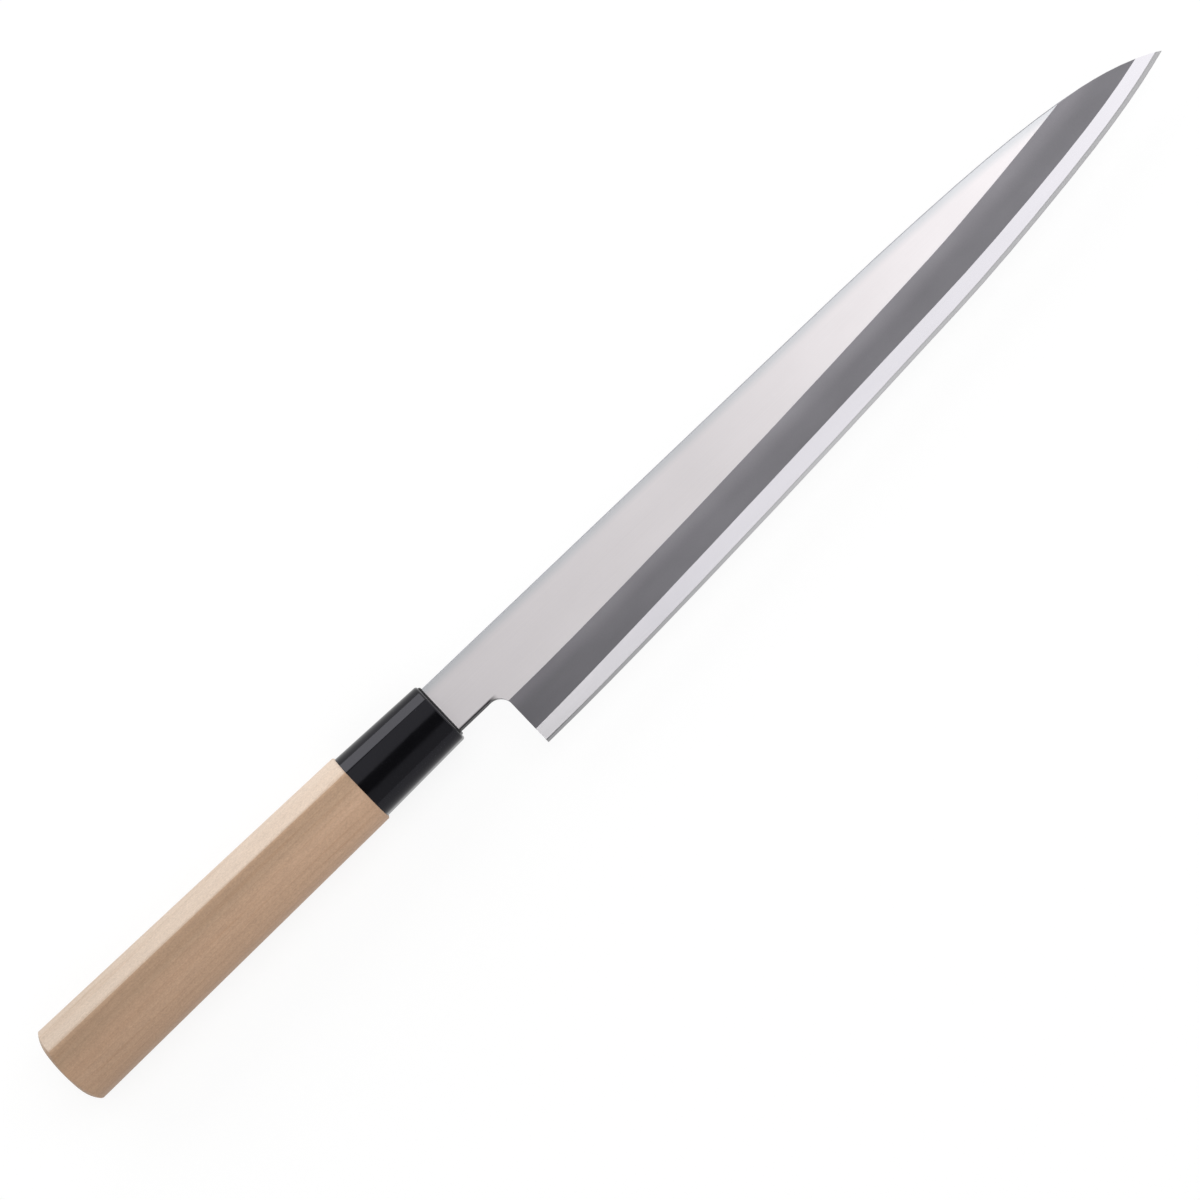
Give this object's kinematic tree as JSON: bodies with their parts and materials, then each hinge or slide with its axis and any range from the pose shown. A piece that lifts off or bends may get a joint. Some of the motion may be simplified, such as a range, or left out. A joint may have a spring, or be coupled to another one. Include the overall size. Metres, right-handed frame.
{
  "type": "yanagiba knife",
  "caption": "Long single-bevel slicing knife: laminated steel blade with a ridge line and a hollow back, black ferrule and pale D-shaped wood handle, for slicing raw fish.",
  "frame": {"origin": "under the middle of the whole knife, level with the lowest point of the handle's flat back, on which the knife lies", "axes": "+X from the butt along the handle's axis to the blade's tip, +Y towards the spine, -Y towards the cutting edge, +Z towards the bevelled face of the blade"},
  "size_m": [0.391, 0.0373, 0.0203],
  "materials": {
    "soft_iron": "satin upper flat and spine, matt whetstone-ground bevel",
    "hard_steel": "polished strip along the edge, finely ground hollow back",
    "black_ferrule": "polished black, like buffalo horn or dense resin",
    "magnolia_wood": "bare pale wood, sanded smooth, with fine straight grain",
    "seal_resin": "hard black resin with a slightly uneven surface",
    "bedding_resin": "hard brown resin, hidden in the handle"
  },
  "bodies": {
    "root": {"blade_iron": "soft_iron", "edge_steel": "hard_steel", "ferrule": "black_ferrule", "wood_handle": "magnolia_wood", "neck_seal": "seal_resin", "tang_bedding": "bedding_resin"}
  },
  "joints": []
}
